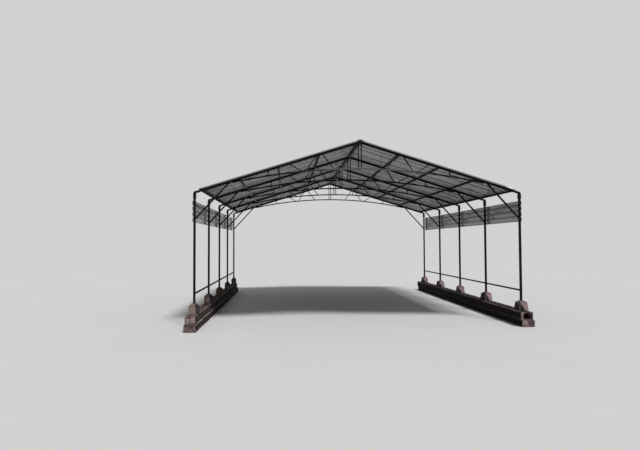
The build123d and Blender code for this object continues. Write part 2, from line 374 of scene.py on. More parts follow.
def timber_material():
    """Old dark timber: long grain, drying cracks, pale worn edges, and end grain with rot. Painted
    sunlight makes it paler at the open front of the left side, along the upper inner edges there and
    on the front ends; painted shade makes it dark under the roof and towards the bay."""
    look = Finish("weathered_timber")
    grain = look.grain((34, 1.6, 34), 7, 0.62, 0.4)
    fine = look.grain((190, 5, 190), 4, 0.6)
    crack = abs(look.grain((17, 0.55, 17), 3, 0.5, 0.6) - 0.5).span(0.0, 0.018, 1.0, 0.0)
    reach = look.at("Y") + (look.noise(2.1, 4) - 0.5) * 1.6
    left = look.at("X").span(0.5, -0.5)

    streak = grain.span(0.32, 0.72)
    # Painted light: the sunlit copy lies on the open front of the left side, the shaded copy elsewhere
    sunlit = reach.span(-1.35, -1.95) * left
    look.colour = look.blend(sunlit, look.blend(streak, *SHADED_WOOD), look.blend(streak, *SUNLIT_WOOD))
    upward = look.facing("Z").span(0.5, 0.9, 0.0, 0.35)
    look.cover(upward, WOOD_DUST)
    under_roof = left * reach.span(-1.6, -0.9, 0.0, 0.45)
    lower_course = left * look.at("Z").span(0.125, 0.115, 0.0, 0.30)
    shade = left.span(0, 1, 0.72, 0.38) + under_roof.larger(lower_course)
    look.cover(look.facing_bay() * shade, WOOD_SHADE)
    # Worn edges, with a painted sunlit line along the upper inner edge at the front
    wear = look.share("wear") * grain.span(0.30, 0.62, 0.45, 1.0)
    look.cover(wear, look.blend(left, *WORN_AND_SUNLIT_WOOD))
    blotches = look.grain((11, 5, 11), 4, 0.65).span(0.46, 0.60)
    look.cover(blotches * (upward * 2.2), WOOD_BLOTCH)

    rings = look.grain((60, 12, 60), 6, 0.65, 1.2).span(0.3, 0.7)
    look.cover(look.share("end"), look.blend(rings, *END_WOOD))
    # Pale end wood, partly painted sunlight on the front ends
    look.cover(look.share("pale"), look.blend(rings, *SUNLIT_PALE_WOOD))
    look.cover(crack * 0.85, WOOD_CRACK)
    look.cover(look.share("dark"), ROTTEN_WOOD)
    look.surface(fine.span(0.3, 0.7, 0.72, 0.95), 0.05)
    look.bump(grain + fine * 0.35 - crack * 1.2, 0.004, 0.8)
    return look.material


def block_material():
    """Rough stained concrete with vertical runs on its front. Painted sunlight makes the front pale,
    tan on the left and pinkish on the right, with a painted patch of sunlight on one block; painted
    shade darkens it towards the bay, on the left blocks further back, in the recesses, on the tops
    and on the lugs."""
    look = Finish("stained_concrete")
    cloud = look.noise(9, 6, 0.65)
    grit = look.noise(160, 4, 0.7)
    runs = look.grain((60, 60, 7), 5, 0.6)
    right = look.at("X").span(-0.5, 0.5)

    look.colour = look.blend(cloud.span(0.3, 0.7), *DARK_CONCRETE)
    run = runs.span(0.3, 0.68)
    pale = look.blend(right, look.blend(run, *TAN_CONCRETE), look.blend(run, *PINK_CONCRETE))
    # Painted sunlight on the front faces
    look.cover(look.facing("Y").span(-0.35, -0.85), pale)
    shade = look.facing_bay() * right.span(0, 1, 0.80, 0.75)
    look.cover(shade, CONCRETE_SHADE)
    # Painted roof shadow on the left blocks further back
    roof_shadow = right.span(1, 0) * look.at("Y").span(-2.4, -0.9, 0.0, 0.78)
    look.cover(roof_shadow * cloud.span(0.62, 0.52, 0.35, 1.0), CONCRETE_ROOF_SHADOW)

    # Worn edges and the painted patch of sunlight show less under painted shade
    kept = runs.span(0.35, 0.6) * shade.span(0.3, 0.7, 1.0, 0.25)
    look.cover(look.share("wear") * kept, look.blend(right, *WORN_AND_SUNLIT_CONCRETE))
    # Painted shade in the recesses, on the block tops and on the lugs
    look.cover(look.share("dark"), BLOCK_PAINTED_SHADE)
    pits = look.cells(130).span(0.08, 0.25, 1.0, 0.0)
    look.cover(pits * 0.5, PIT_DIRT)
    look.surface(grit.span(0.3, 0.7, 0.80, 0.97), 0.15)
    look.bump(grit - pits * 0.8, 0.0025, 0.8)
    return look.material


def zinc_material(name, tones, metallic):
    """The zinc of screws and bolts, between two tones."""
    look = Finish(name)
    cloud = look.noise(220, 4, 0.6)
    look.colour = look.blend(cloud, *tones)
    look.surface(cloud.span(0.3, 0.7, 0.32, 0.55), 0.5, metallic)
    look.bump(cloud, 0.0002, 0.4)
    return look.material


STEEL = tube_material("black_tube")
RIDGE_STEEL = tube_material("black_tube_ridge", painted_light_ridge)
PURLIN_STEEL = tube_material("black_tube_left_purlins", painted_glint_left_purlins, PURLIN_PAINTED_GLINT)
CHORD_STEEL = tube_material("black_tube_front_truss", painted_sun_front_chord)
RAIL_STEEL = tube_material("black_tube_left_rail", faded_left_rail, RAIL_BLOOM)
SHEET = sheet_material()
TRIM = trim_material()
TIMBER = timber_material()
BLOCK = block_material()
ZINC = zinc_material("zinc", CLEAN_ZINC, 0.8)
STAINED_ZINC = zinc_material("stained_zinc", DULL_ZINC, 0.2)


# Mesh helpers

def rough(x, y, z, octaves=3):
    """Smooth noise between about -1 and 1."""
    return noise.fractal(Vector((x, y, z)), 1.0, 2.1, octaves)


def clamp(value):
    """The value held between 0 and 1."""
    return max(0.0, min(1.0, value))


def make_mesh(name, points, faces, material):
    mesh = bpy.data.meshes.new(name)
    mesh.from_pydata(points, [], faces)
    mesh.update()
    mesh.materials.append(material)
    return mesh


def make_object(name, data):
    """A new object in the scene."""
    thing = bpy.data.objects.new(name, data)
    bpy.context.scene.collection.objects.link(thing)
    return thing


def make_piece(name, points, faces, material, slot, replaces=(), smooth=True, **attributes):
    """A mesh object that rides on the frame, with its point attributes."""
    mesh = make_mesh(name, points, faces, material)
    for key, values in attributes.items():
        mesh.attributes.new(key, "FLOAT", "POINT").data.foreach_set("value", values)
    if smooth:
        mesh.shade_smooth()
    piece = make_object(name, mesh)
    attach(piece, "root")
    if replaces:
        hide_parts(*replaces)


def grid_faces(rows, columns, start=0, closed=False):
    """Quads between rows of points; closed joins the last column to the first."""
    faces = []
    last = columns if closed else columns - 1
    for r in range(rows - 1):
        for c in range(last):
            n = (c + 1) % columns
            a = start + r * columns
            faces.append((a + c, a + n, a + columns + n, a + columns + c))
    return faces


def capped_faces(rows, columns, start=0):
    """Quads between rings of points, and a face over each end."""
    faces = grid_faces(rows, columns, start, closed=True)
    faces.append(tuple(reversed(range(start, start + columns))))
    last = start + (rows - 1) * columns
    faces.append(tuple(range(last, last + columns)))
    return faces


def rounded_path(points, radius, steps=2):
    """A polyline with each inner bend replaced by a short curve."""
    path = [Vector(points[0])]
    for before, at, after in zip(points, points[1:], points[2:]):
        before, at, after = Vector(before), Vector(at), Vector(after)
        reach_in = min(radius, (at - before).length * 0.45)
        reach_out = min(radius, (after - at).length * 0.45)
        start = at + (before - at).normalized() * reach_in
        end = at + (after - at).normalized() * reach_out
        for i in range(steps + 1):
            t = i / steps
            path.append(start * (1 - t) ** 2 + at * 2 * t * (1 - t) + end * t ** 2)
    path.append(Vector(points[-1]))
    return path


def ribbed_line(low_flat, high_flat, count):
    """Side view of a ribbed sheet as (along, out) points with rounded bends."""
    points = []
    pitch = low_flat + high_flat + 2 * RIB_SIDE
    for i in range(count):
        start = i * pitch
        points.append((start, 0))
        points.append((start + RIB_SIDE, RIB_DEPTH))
        points.append((start + RIB_SIDE + high_flat, RIB_DEPTH))
        points.append((start + 2 * RIB_SIDE + high_flat, 0))
    return rounded_path(points, SHEET_BEND)


def thin_shell(lower, upper, rows, columns):
    """Points and faces of a closed sheet between two grids."""
    count = rows * columns
    faces = [tuple(reversed(f)) for f in grid_faces(rows, columns)]
    faces += grid_faces(rows, columns, count)
    last, end = (rows - 1) * columns, columns - 1
    for c in range(end):
        faces.append((c, c + 1, count + c + 1, count + c))
        faces.append((last + c + 1, last + c, count + last + c, count + last + c + 1))
    for a in range(0, last, columns):
        b = a + columns
        faces.append((b, a, count + a, count + b))
        faces.append((a + end, b + end, count + b + end, count + a + end))
    return lower + upper, faces


def on_slope(side, distance, height, y):
    """A point by its distance down from the ridge and its height above the rafter centre line."""
    x = distance * math.cos(SLOPE) + height * math.sin(SLOPE)
    z = APEX_Z - distance * math.sin(SLOPE) + height * math.cos(SLOPE)
    return (side * x, y, z)


# Roof sheets and side bands

LAP_OFFSETS = [0.34, 0.58, 1.04, 1.92, 2.15, 2.60, 3.67, 4.18, 4.78, 5.41]
LAP_PAST_RIB = 0.004
LAP_MARGIN = 0.005
LAP_STEP = 0.0002
RUN_STEPS = 26
BAND_STEPS = 150
RAGGED_EAVE = 0.004
RAGGED_BAND_END = 0.003
ROOF_WAVE = 0.00022
BAND_WAVE = 0.0003
# Shares of dark colour: dirty ribs with painted shade by the laps, painted shade at the sheet ends
LAP_DIRT_AND_SHADE = 0.90
EDGE_PAINTED_SHADE = 0.62
# Size and strength of the painted glint at the right slope's outer front corner
GLINT_CORNER = 0.12
GLINT_CORNER_SHARE = 0.9

LIP_DEPTH = 0.0035
LIP_THICKNESS = 0.0012
LIP_DRIFT = 0.0015
LIP_STEPS = 8
LIP_TO_PURLIN = 0.014
LIP_TO_FRAME = 0.06
FRAME_REACH = 0.03


def lap_rows():
    """Places along the ridge where one sheet laps the next, each beside a rib."""
    rows = []
    for offset in LAP_OFFSETS:
        along = offset + FRAME_ROWS[0] + ROOF_LENGTH / 2
        rows.append(round(along / ROOF_PITCH) * ROOF_PITCH + RIB_FOOT + LAP_PAST_RIB)
    return rows


def lap_lips(points, faces, side, laps):
    """Add the laps' lips, which hang on the underside between the purlins and clear the frames."""
    back = side * LIP_THICKNESS
    stops = [RIDGE_GAP] + [x / math.cos(SLOPE) for x in PURLIN_LINES]
    for lap in laps:
        y = lap - ROOF_LENGTH / 2
        if any(abs(y - row) < FRAME_REACH for row in FRAME_ROWS):
            y += LIP_TO_FRAME
        for start, stop in zip(stops, stops[1:]):
            first, last = start + LIP_TO_PURLIN, stop - LIP_TO_PURLIN
            base = len(points)
            for i in range(LIP_STEPS + 1):
                distance = first + (last - first) * i / LIP_STEPS
                sag = LIP_DEPTH * (0.75 + 0.25 * rough(distance * 4, y * 7, side, 1))
                shift = LIP_DRIFT * rough(distance * 2.3, y * 3, side + 9, 1)
                for dy, height in ((0, SHEET_SEAT), (0, -sag), (back, -sag), (back, SHEET_SEAT)):
                    points.append(on_slope(side, distance, HALF_TUBE + height, y + dy + shift))
            faces += grid_faces(LIP_STEPS + 1, 4, base, closed=True)
            faces.append((base, base + 1, base + 2, base + 3))
            tail = base + 4 * LIP_STEPS
            faces.append((tail + 3, tail + 2, tail + 1, tail))


def roof_slope(side_name):
    """One slope of lapped ribbed sheets, with dirty ribs and painted shade beside the laps, and with
    the laps' lips hanging on the underside. The right slope's outer front corner has a painted glint."""
    side = SIDES[side_name]
    line = ribbed_line(ROOF_PAN, RIB_TOP, ROOF_RIBS)
    laps = lap_rows()
    lower, upper, grime, bright = [], [], [], []
    for r in range(RUN_STEPS + 1):
        for u, v in line:
            panel = sum(lap < u for lap in laps)
            trim = RAGGED_EAVE * abs(rough(panel * 3.7, side * 2.0, 0.5, 1)) if r == RUN_STEPS else 0.0
            distance = RIDGE_GAP + ROOF_RUN * r / RUN_STEPS - trim
            y = u - ROOF_LENGTH / 2
            wave = ROOF_WAVE * (1 + rough(y * 2.2, distance * 3.1, side * 5.0, 2))
            height = HALF_TUBE + SHEET_SEAT + v + wave + LAP_STEP * (panel % 2)
            lower.append(on_slope(side, distance, height, y))
            upper.append(on_slope(side, distance, height + SHEET_THICKNESS, y))
            at_end = min(u, ROOF_LENGTH - u) < RIB_SIDE
            at_lap = any(lap - RIB_FOOT - LAP_MARGIN < u < lap for lap in laps)
            # Painted shade at the sheet ends; dirty ribs with painted shade beside the laps
            grime.append(EDGE_PAINTED_SHADE if at_end else LAP_DIRT_AND_SHADE if at_lap else 0.0)
            # A painted glint at the right slope's outer front corner
            at_corner = side > 0 and u < RIB_SIDE and distance > ROOF_RUN - GLINT_CORNER
            bright.append(GLINT_CORNER_SHARE if at_corner else 0.0)
    points, faces = thin_shell(lower, upper, RUN_STEPS + 1, len(line))
    sheet_points = len(points)
    lap_lips(points, faces, side, laps)
    lip_points = len(points) - sheet_points
    make_piece(f"roof_sheets_{side_name}", points, faces, SHEET, "roof_sheet", (f"roof_{side_name}",),
               grime=grime * 2 + [LAP_DIRT_AND_SHADE] * lip_points, bright=bright * 2 + [0.0] * lip_points,
               band=[0.0] * len(points))


def side_band(side_name):
    """The lengthwise strip of ribbed sheet outside the posts."""
    side = SIDES[side_name]
    line = ribbed_line(RIB_TOP, PAN_WIDTH, BAND_PANS)
    lower, upper = [], []
    for r in range(BAND_STEPS + 1):
        for u, v in line:
            ragged = RAGGED_BAND_END * abs(rough(u * 30, side * 3.0, r, 1)) if r in (0, BAND_STEPS) else 0.0
            y = BAND_LENGTH * (r / BAND_STEPS - 0.5)
            y -= math.copysign(ragged, y)
            wave = BAND_WAVE * (1 + rough(y * 2.6, u * 9, side * 4.0, 2))
            out = HALF_SPACING + HALF_TUBE + SHEET_SEAT + v + wave
            lower.append((side * out, y, BAND_BOTTOM + u))
            upper.append((side * (out + SHEET_THICKNESS), y, BAND_BOTTOM + u))
    points, faces = thin_shell(lower, upper, BAND_STEPS + 1, len(line))
    if side > 0:
        faces = [tuple(reversed(f)) for f in faces]
    plain = [0.0] * len(points)
    make_piece(f"band_sheet_{side_name}", points, faces, SHEET, "roof_sheet", (f"side_band_{side_name}",),
               grime=plain, bright=plain, band=[1.0] * len(points))


for side_name in SIDES:
    roof_slope(side_name)
    side_band(side_name)


# Sill timbers

RING_STEP = 0.0145
FACE_STEP = 0.0125
END_RINGS = 18
CORNER_RADIUS = 0.011
CORNER_STEPS = 4
WORN_BAND = 0.02
PLAIN_END = (0.10, 0.25)

UNDULATION = 0.0010
GRAIN_DEPTH = 0.0009
GROOVE_DEPTH = 0.0035
GOUGE_DEPTH = 0.020
WASTE_REACH = 1.2
# Where the painted sunlit line along the upper inner edge fades out
BRIGHT_START = -0.9
BRIGHT_REACH = 0.9
END_WEAR = 0.004
LEAST_END_WEAR = 0.001
END_CRACK_DEPTH = 0.007
END_GRAIN = 0.0012
ROT_HOLLOW = (2.698, 0.169, 0.056, 0.15)
ROT_RIPPLE = 0.019


def across_y(angle):
    """A direction at right angles to the timber, by its angle from +X towards +Z."""
    return Vector((math.cos(angle), 0, math.sin(angle)))


def section(low, high):
    """Points round a sawn timber's section with outward directions and nearness to a corner."""
    outline = []
    r = CORNER_RADIUS
    long_x, long_z = high.x - low.x - 2 * r, high.z - low.z - 2 * r
    left, right, bottom, top = low.x + r, high.x - r, low.z + r, high.z - r
    for index, (x, z) in enumerate(((right, top), (left, top), (left, bottom), (right, bottom))):
        corner = Vector((x, 0, z))
        for step in range(CORNER_STEPS):
            direction = across_y(math.radians(90 * index + 30 * step))
            outline.append((corner + direction * r, direction, 1.0))
        length = long_z if index % 2 else long_x
        count = max(3, round(length / FACE_STEP))
        angle = math.radians(90 * index + 90)
        direction, along = across_y(angle), across_y(angle + math.pi / 2)
        for step in range(1, count):
            near = max(0.0, 1 - min(step, count - step) * length / count / WORN_BAND)
            place = corner + direction * r + along * (length * step / count)
            outline.append((place, direction, near * 0.6))
    return outline


class Timber:
    """A long weathered timber with worn edges, drying cracks and rough ends.

    end_tones gives the paleness and darkness of its front end, and marks the spots there that
    differ: (across, up, half width, half height, paler, darker) as shares of the end's size; the
    front end's paleness is partly painted sunlight. rot is a hollow in that end, as (x, z, radius,
    depth). waste says how far its inner face is worn back at the front, and bright how strong a
    painted sunlit line is along its upper inner edge there. Its points are kept as (point, worn and
    sunlit share, end, pale, dark)."""

    def __init__(self, node, seed, end_tones, marks, rot=None, waste=0.0, bright=0.0):
        self.low, self.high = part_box(node)
        self.node, self.seed, self.end_tones, self.marks = node, seed, end_tones, marks
        self.rot, self.waste, self.bright = rot, waste, bright
        self.inner_side = -1 if self.low.x > 0 else 1
        self.centre = Vector(((self.low.x + self.high.x) / 2, 0, (self.low.z + self.high.z) / 2))
        self.outline = section(self.low, self.high)
        self.rings = round((self.high.y - self.low.y) / RING_STEP)
        self.points, self.faces = [], []

    def from_rot(self, place):
        """Distance from the middle of the hollow, which is a little wider than high."""
        return ((0.88 * (place.x - self.rot[0])) ** 2 + (place.z - self.rot[1]) ** 2) ** 0.5

    def setback(self, place, front):
        """How far an end is worn back at one place of the section."""
        depth = END_WEAR + END_WEAR * rough(place.x * 30, self.seed, place.z * 30, 2)
        if self.rot and front:
            share = max(0.0, 1 - self.from_rot(place) / (self.rot[2] * 1.25))
            depth += self.rot[3] * share * (0.8 + 0.5 * rough(place.x * 40, 3, place.z * 40))
        return max(LEAST_END_WEAR, depth)

    def side_point(self, place, direction, corner, y, end_share):
        """One point of the long faces."""
        seed = self.seed
        inward = direction.x * self.inner_side
        groove = max(0.0, 1 - abs(rough(place.x * 16, y * 0.7 + seed * 3, place.z * 16, 2)) * 14)
        gouge = max(0.0, rough(y * 16.0, seed + 7, place.z * 9 + place.x * 9, 3) - 0.22)
        gouge = gouge * corner * GOUGE_DEPTH
        depth = UNDULATION * (1 + rough(y * 1.3, seed + 2, direction.x * 2, 2))
        depth += GRAIN_DEPTH * abs(rough(place.x * 55, y * 2.2 + seed, place.z * 55, 3))
        depth += GROOVE_DEPTH * groove
        depth += gouge
        if inward > 0.2:
            wasted = self.waste * max(0.0, 1 - (y - self.low.y) / WASTE_REACH)
            depth += wasted * (0.8 + 0.3 * rough(y * 6, seed, place.z * 12))
        point = place - direction * depth

        # The inner half of the top ledge gets the painted sunlit line
        inner_half = place.x * self.inner_side > self.centre.x * self.inner_side
        ledge = self.bright and corner > 0.2 and direction.z > 0.9 and inner_half
        edge = (1.0 if corner > 0.9 or ledge else 0.0) * (1.0 if direction.z > 0.2 else 0.25)
        strength = 0.45 + 0.7 * rough(y * 2.0, seed + 11, place.z * 3, 3)
        # Painted sunlight: the upper inner edge is paler towards the open front
        if inward > -0.2:
            strength += self.bright * clamp((BRIGHT_START - y) / BRIGHT_REACH)
        else:
            edge *= 0.4
        return (point.x, y, point.z), clamp(edge * strength + 12 * gouge), end_share, 0.0, 0.25 * groove

    def add_sides(self):
        """The long faces, as rings from the front end to the back."""
        starts = [self.low.y + self.setback(place, True) for place, direction, corner in self.outline]
        stops = [self.high.y - self.setback(place, False) for place, direction, corner in self.outline]
        for r in range(self.rings + 1):
            end_share = max(0.0, 1 - min(r, self.rings - r) / 1.5)
            for spot, start, stop in zip(self.outline, starts, stops):
                y = start + (stop - start) * (r / self.rings)
                self.points.append(self.side_point(*spot, y, end_share))
        self.faces += grid_faces(self.rings + 1, len(self.outline), closed=True)

    def end_tone(self, spot, front):
        """Paleness and darkness of an end at one spot, before its cracks and rot."""
        if not front:
            return PLAIN_END
        # The front end's paleness is partly painted sunlight
        pale, dark = self.end_tones
        across = (spot.x - self.low.x) / (self.high.x - self.low.x)
        across += 0.05 * rough(spot.x * 30, self.seed, spot.z * 30, 2)
        up = (spot.z - self.low.z) / (self.high.z - self.low.z)
        up += 0.06 * rough(spot.x * 30, self.seed + 4, spot.z * 30, 2)
        for mark_x, mark_z, half_x, half_z, paler, darker in self.marks:
            apart = ((across - mark_x) / half_x) ** 2 + ((up - mark_z) / half_z) ** 2
            share = clamp(1.6 - 1.6 * apart)
            pale += paler * share
            dark += darker * share
        return pale, dark

    def end_point(self, x, z, share, front):
        """One point of an end, on the way from its middle to its rim at (x, z)."""
        seed = self.seed
        spot = self.centre.lerp(Vector((x, 0, z)), share)
        angle = math.atan2(spot.z - self.centre.z, spot.x - self.centre.x)
        crack = max(0.0, 1 - abs(rough(angle * 1.7, seed + 1, 0.3, 2)) * 9) * min(1, (1 - share) * 3)
        depth = self.setback(spot, front) + END_CRACK_DEPTH * crack
        depth += END_GRAIN * rough(spot.x * 160, seed, spot.z * 160, 2)
        pale, dark = self.end_tone(spot, front)
        pale *= 0.8 + 0.5 * rough(spot.x * 22, seed + 5, spot.z * 22, 2)
        dark *= 0.8 + 0.6 * rough(spot.x * 18, seed + 8, spot.z * 18, 3)
        dark += 0.5 * crack
        if self.rot and front:
            away = self.from_rot(spot) + ROT_RIPPLE * rough(spot.x * 38, 4.0, spot.z * 38, 4)
            hollow = clamp((self.rot[2] - away) / (self.rot[2] * 0.35))
            depth += self.rot[3] * hollow
            pale *= 1 - hollow
            outward = 5.0 * max(0.0, spot.x - self.rot[0])
            dark += hollow * (0.22 + 1.6 * rough(spot.x * 45, seed + 3, spot.z * 45, 3) - outward)
        y = self.low.y + depth if front else self.high.y - depth
        return (spot.x, y, spot.z), 0.0, 1.0, clamp(pale), clamp(dark)

    def add_end(self, front):
        """An end, as rings from its rim to its middle."""
        count = len(self.outline)
        start = 0 if front else self.rings * count
        rim = [point for point, *looks in self.points[start:start + count]]
        outer = range(start, start + count)
        for level in range(1, END_RINGS + 1):
            inner = range(len(self.points), len(self.points) + count)
            for x, y, z in rim:
                self.points.append(self.end_point(x, z, 1 - level / END_RINGS, front))
            for i in range(count):
                n = (i + 1) % count
                quad = (outer[i], inner[i], inner[n], outer[n])
                self.faces.append(quad if front else tuple(reversed(quad)))
            outer = inner

    def make(self, name):
        self.add_sides()
        self.add_end(front=True)
        self.add_end(front=False)
        points, wear, end, pale, dark = zip(*self.points)
        make_piece(name, points, self.faces, TIMBER, "weathered_timber", (self.node,),
                   wear=wear, end=end, pale=pale, dark=dark)


SILL_TIMBERS = {
    "left_lower": dict(seed=1.3, end_tones=(0.22, 0.10), waste=0.020, bright=0.9, marks=(
        (0.50, 0.95, 0.60, 0.28, -0.3, 0.35),
        (0.62, 0.72, 0.14, 0.16, -0.2, 0.45),
        (0.10, 0.78, 0.12, 0.16, 0.0, 0.35))),
    "left_upper": dict(seed=4.1, end_tones=(0.75, 0.05), marks=(
        (0.03, 0.50, 0.07, 0.70, -0.6, 0.70),
        (0.45, 0.92, 0.24, 0.24, -0.5, 0.50),
        (0.53, 0.08, 0.06, 0.30, -0.3, 0.80),
        (0.85, 0.02, 0.16, 0.12, -0.3, 0.70))),
    "right_lower": dict(seed=7.7, end_tones=(0.15, 0.25), marks=(
        (0.20, 0.65, 0.26, 0.60, 0.60, -0.25),
        (0.62, 0.70, 0.16, 0.45, -0.1, 0.20),
        (0.86, 0.50, 0.09, 0.40, -0.1, 0.60))),
    "right_upper": dict(seed=9.2, end_tones=(0.10, 0.45), rot=ROT_HOLLOW, bright=0.5, marks=(
        (0.06, 0.50, 0.13, 0.90, 0.42, -0.35),
        (0.25, 0.90, 0.20, 0.20, 0.30, -0.20))),
}

for place, looks in SILL_TIMBERS.items():
    Timber(f"base_timber_{place}", **looks).make(f"sill_{place}")


# Pier blocks

BLOCK_BASE = {"left": 0.130, "right": 0.174}
BLOCK_TOP = {"left": 0.130, "right": 0.142}
BLOCK_EDGE = 0.005
BLOCK_SINK = 0.003
BLOCK_TURNS = {"left": (-25, -20, -3, 4, 2), "right": (9, 20, -6, 5, -3)}
CROWN_TOP = 0.070
CROWN_GAP = 0.0005
WALL_TOP = SILL_TOP + BLOCK_HEIGHT
WALL_RINGS = 26
CROWN_RINGS = 10
SIDE_POINTS = 28
BLOCK_SKIN = 0.0008
BLOCK_RELIEF = 0.0012
FACE_CHIP = 0.002
CORNER_CHIP = 0.012
# Painted shade on the top of each block
TOP_SHADE_FROM = 0.112
TOP_SHADE_REACH = 0.016
PITTED_FROM = 0.12

FIN = 0.002
RECESS_WIDTH = 0.098
RECESS_TIP = 0.004
RECESS_DEPTH = 0.010
RECESS_SLANT = 0.006
# A painted patch of sunlight on the second left block's front
SUNLIT_SPOT = (0.010, 0.062, 0.030, 0.042)

LUG = 0.026
LUG_ROOT = 0.006
LUG_RISE = 0.013
LUG_LEVELS = [(0.0, 1.0), (0.35, 0.98), (0.7, 0.94), (0.92, 0.84), (1.0, 0.66)]


def turned_place(centre, turn, x, y):
    """A place on a turned block, by its place from the block's middle."""
    cosine, sine = math.cos(turn), math.sin(turn)
    return (centre[0] + x * cosine - y * sine, centre[1] + x * sine + y * cosine)


def ring_at(width, radius, count):
    """Points round a rounded square with each one's nearness to a corner."""
    half = width / 2
    points = []
    for i in range(count):
        side, along = divmod(4 * i / count, 1)
        x, y = -half + along * width, -half
        corner = 0.0
        cx, cy = max(radius - half, min(half - radius, x)), radius - half
        offset = Vector((x - cx, y - cy))
        if x != cx:
            corner = 1.0
            offset = offset.normalized() * radius
        x, y = cx + offset.x, cy + offset.y
        for quarter in range(int(side)):
            x, y = -y, x
        points.append((x, y, corner))
    return points


def recess_share(index, width, height_share):
    """How deep a block's front or back is at one point: a tapering recess beside the fin at its
    first corner and a fainter one beside its last."""
    if index // SIDE_POINTS % 2:
        return 0.0
    along = width * (index % SIDE_POINTS) / SIDE_POINTS
    opening = RECESS_WIDTH * (1 - height_share) + RECESS_TIP

    def within(place, reach):
        return clamp((place - FIN) / RECESS_SLANT) * clamp((FIN + reach - place) / RECESS_SLANT)

    return max(within(along, opening), 0.45 * within(width - along, opening * 0.18))


def block_rings(side_name, centre, turn, seed, sunlit_spot):
    """One block: rough sides, chipped edges and a low crown under the post, as rings of (point, worn
    and sunlit share, painted shade). The flared blocks of the right side have recesses in front and
    at the back. The last argument puts a painted patch of sunlight on its front."""
    flared = side_name == "right"
    spot_x, spot_z, spot_width, spot_height = SUNLIT_SPOT
    walls = (0.0, BLOCK_BASE[side_name]), (BLOCK_HEIGHT, BLOCK_TOP[side_name])
    crown = walls[1], (BLOCK_HEIGHT + CROWN_HEIGHTS[side_name] - CROWN_GAP, CROWN_TOP)
    rings = []
    for ((z0, w0), (z1, w1)), parts in ((walls, WALL_RINGS), (crown, CROWN_RINGS)):
        for k in range(parts + (z0 > 0)):
            t = k / parts
            z, width = z0 + (z1 - z0) * t, w0 + (w1 - w0) * t
            ring = []
            for index, (x, y, corner) in enumerate(ring_at(width, BLOCK_EDGE, 4 * SIDE_POINTS)):
                out = Vector((x, y, 0)).normalized()
                chip = max(0.0, rough((centre[0] + x) * 22, (centre[1] + y) * 22, z * 26 + seed, 3) - 0.14)
                recess = recess_share(index, width, t) * min(1.0, 6 * (1 - t)) if flared and z0 == 0 else 0.0
                depth = BLOCK_SKIN + BLOCK_RELIEF * abs(rough(x * 90, y * 90 + seed, z * 90, 3))
                depth += chip * (FACE_CHIP + CORNER_CHIP * corner)
                depth += RECESS_DEPTH * recess
                pit = BLOCK_RELIEF * abs(rough(x * 70, y * 70, seed)) if z > PITTED_FROM else 0.0
                x, y = x - out.x * depth, y - out.y * depth
                point = (*turned_place(centre, turn, x, y), SILL_TOP + z - (BLOCK_SINK if z == 0 else pit))
                # Painted shade on the block's top
                top_shade = clamp((z - TOP_SHADE_FROM) / TOP_SHADE_REACH) * (0.30 + 0.4 * rough(x * 60, y * 60, seed))
                sunlit_patch = 0.0
                # A painted patch of sunlight
                if sunlit_spot and index < SIDE_POINTS:
                    away = ((x - spot_x) / spot_width) ** 2 + ((z - spot_z) / spot_height) ** 2
                    sunlit_patch = clamp(2 - 2 * away)
                wear = max(sunlit_patch, (1 - recess) * min(1.0, corner * 0.8 + chip * 1.5))
                ring.append((point, wear, max(top_shade, recess)))
            rings.append(ring)
    return rings


def lug_rings(centre, turn, seed):
    """A small worn lug at a top corner of a block, darkened with painted shade."""
    rings = []
    for t, share in LUG_LEVELS:
        z = WALL_TOP - LUG_ROOT + (LUG_ROOT + LUG_RISE) * t * 0.99
        ring = []
        for x, y, corner in ring_at(LUG * share, LUG * share * 0.25, 16):
            worn = 1 - 0.05 * abs(rough((centre[0] + x) * 80, (centre[1] + y) * 80, t * 3 + seed, 2))
            # Painted shade on the lug
            ring.append(((*turned_place(centre, turn, x * worn, y * worn), z), 0.25 * corner, 0.75))
        rings.append(ring)
    return rings


def pier_row(side_name):
    """The five blocks of one sill."""
    spots, faces = [], []

    def join(rings):
        """Add a closed surface through rings of (point, worn and sunlit share, painted shade)."""
        faces.extend(capped_faces(len(rings), len(rings[0]), len(spots)))
        for ring in rings:
            spots.extend(ring)

    side = SIDES[side_name]
    for index, (row, degrees) in enumerate(zip(FRAME_ROWS, BLOCK_TURNS[side_name])):
        centre = (side * HALF_SPACING, row)
        turn = math.radians(degrees)
        seed = index * 2.7 + side
        # The second left block gets a painted patch of sunlight
        join(block_rings(side_name, centre, turn, seed, sunlit_spot=side < 0 and index == 1))
        reach = (BLOCK_TOP[side_name] - LUG) / 2
        for dx in (-reach, reach):
            for dy in (-reach, reach):
                join(lug_rings(turned_place(centre, turn, dx, dy), turn, seed + 9 * dx + 30 * dy))
    points, wear, dark = zip(*spots)
    make_piece(f"piers_{side_name}", points, faces, BLOCK, "stained_concrete", (f"pier_blocks_{side_name}",),
               wear=wear, dark=dark)


for side_name in SIDES:
    pier_row(side_name)


# Screws and bolts, whose profiles are (height, radius)

WASHER = [(-0.0004, 0.0068), (0.0003, 0.0070), (0.0010, 0.0062), (0.0016, 0.0045)]
WASHER_POINTS = 14
SCREW_HEAD = [(0.0012, 0.0040), (0.0014, 0.0043), (0.0042, 0.0043), (0.0048, 0.0037)]
SCREW_SEAT = 0.0014
SCREW_DRIFT = 0.004
SCREWED_PANS = 3
END_SCREW_SHIFT = 0.006
INNER_BOLT_RISE = 0.030
FRONT_BOLT_RISE = 0.022
BAND_SCREW_SIZE = 0.9
INNER_BOLT_SIZE = 1.6
FRONT_BOLT_SIZE = 1.3
BARE_BOLT_SIZE = 0.9


